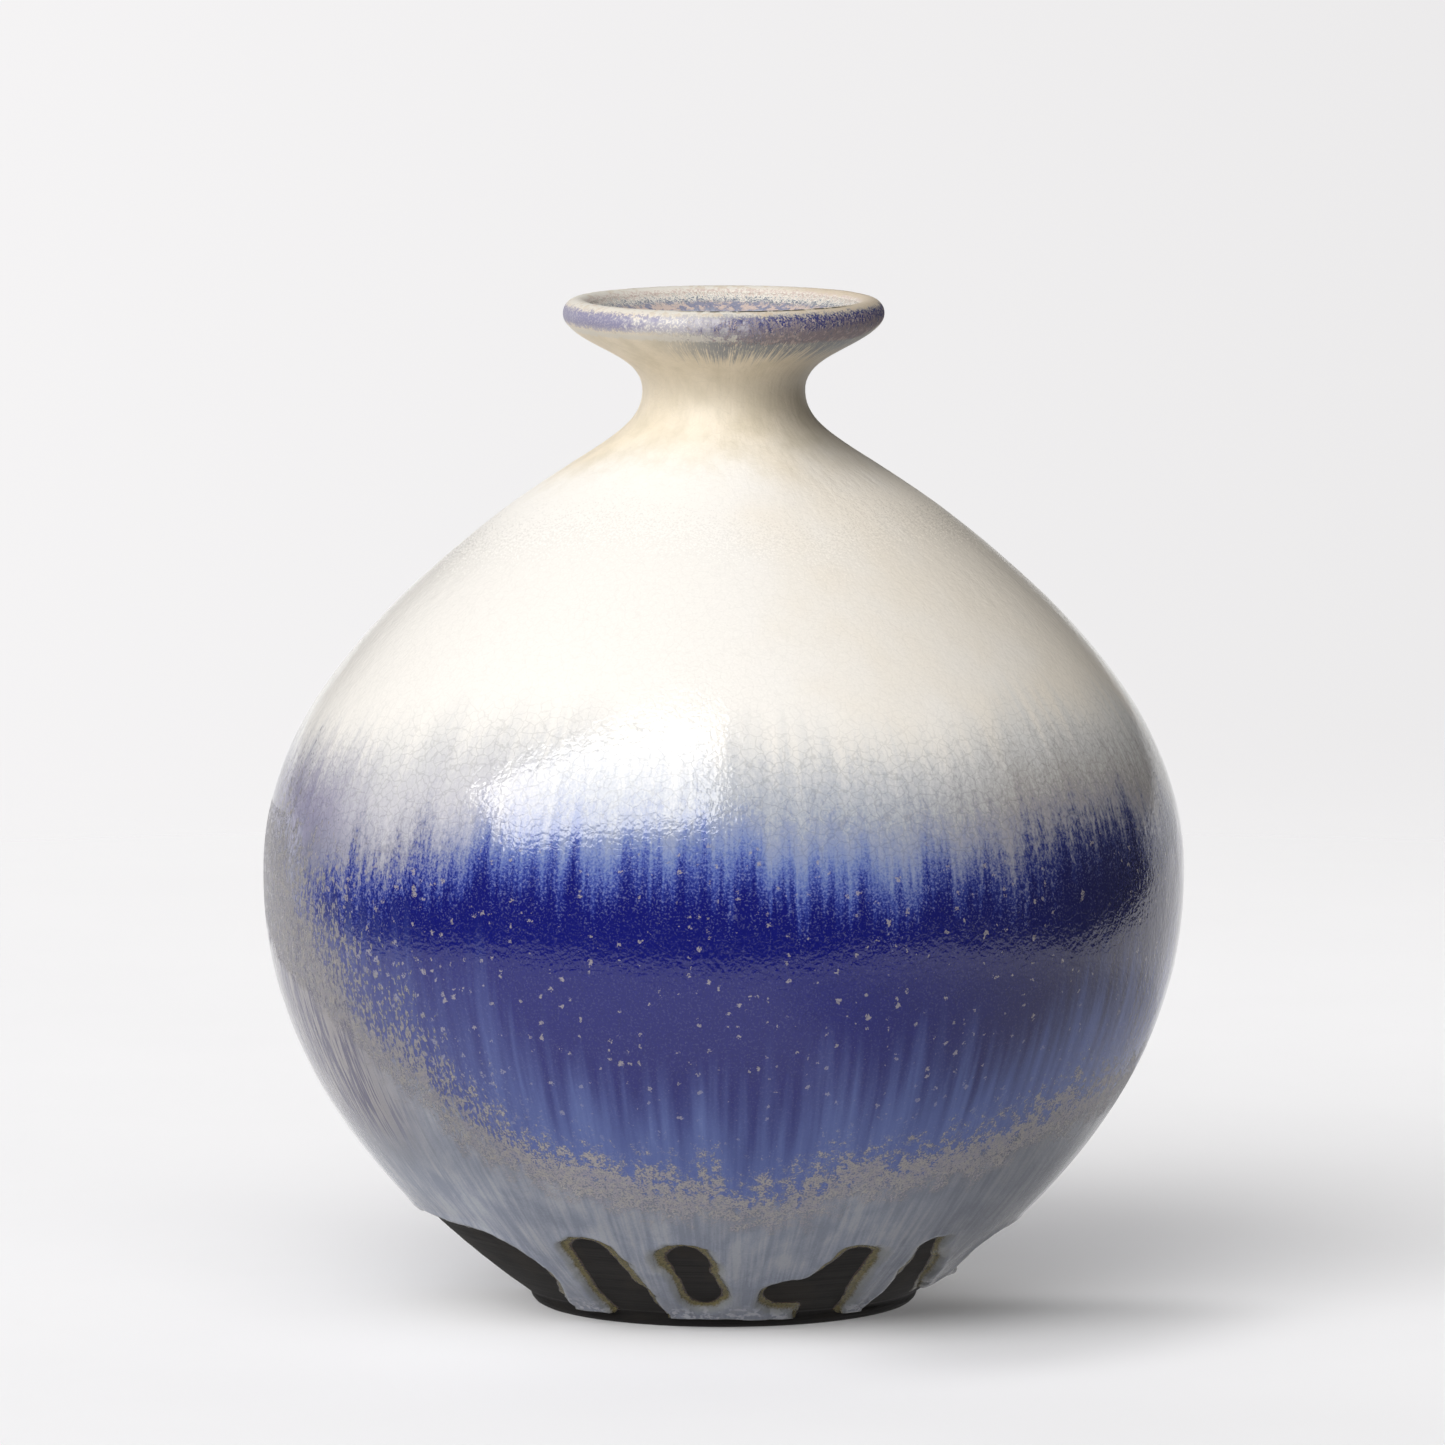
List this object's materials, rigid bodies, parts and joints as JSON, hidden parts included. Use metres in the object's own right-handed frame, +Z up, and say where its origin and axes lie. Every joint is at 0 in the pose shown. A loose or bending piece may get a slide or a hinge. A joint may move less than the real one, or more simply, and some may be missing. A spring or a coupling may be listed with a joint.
{
  "type": "stoneware vase",
  "caption": "Wide round-bellied bottle vase with a narrow neck, flared rounded lip, small turned foot and running cobalt and cream glaze.",
  "frame": {"origin": "centre of the foot's resting plane, on the axis of the vase", "axes": "+Z up along the axis, from the foot to the mouth; -Y is the front, the side with the narrow clay windows"},
  "size_m": [0.2282, 0.2282, 0.2496],
  "materials": {
    "bare_clay": "matt dark brown-black fired stoneware",
    "slip": "matt fired slip",
    "liner_glaze": "gloss grey-blue glaze",
    "lip_glaze": "gloss violet glaze with lavender crystals",
    "cream_glaze": "gloss cream glaze with fine crackle",
    "cobalt_glaze": "gloss deep cobalt glaze with crystals",
    "foot_glaze": "satin grey-blue run glaze"
  },
  "bodies": {
    "root": {"foot_ring": "bare_clay", "foot_slip_seam": "slip", "lower_bowl": "bare_clay", "belly_slip_seam": "slip", "shoulder_dome": "bare_clay", "neck_slip_seam": "slip", "neck_collar": "bare_clay", "liner_glaze": "liner_glaze", "lip_glaze": "lip_glaze", "cream_glaze": "cream_glaze", "cobalt_glaze": "cobalt_glaze", "foot_glaze": "foot_glaze"}
  },
  "joints": []
}
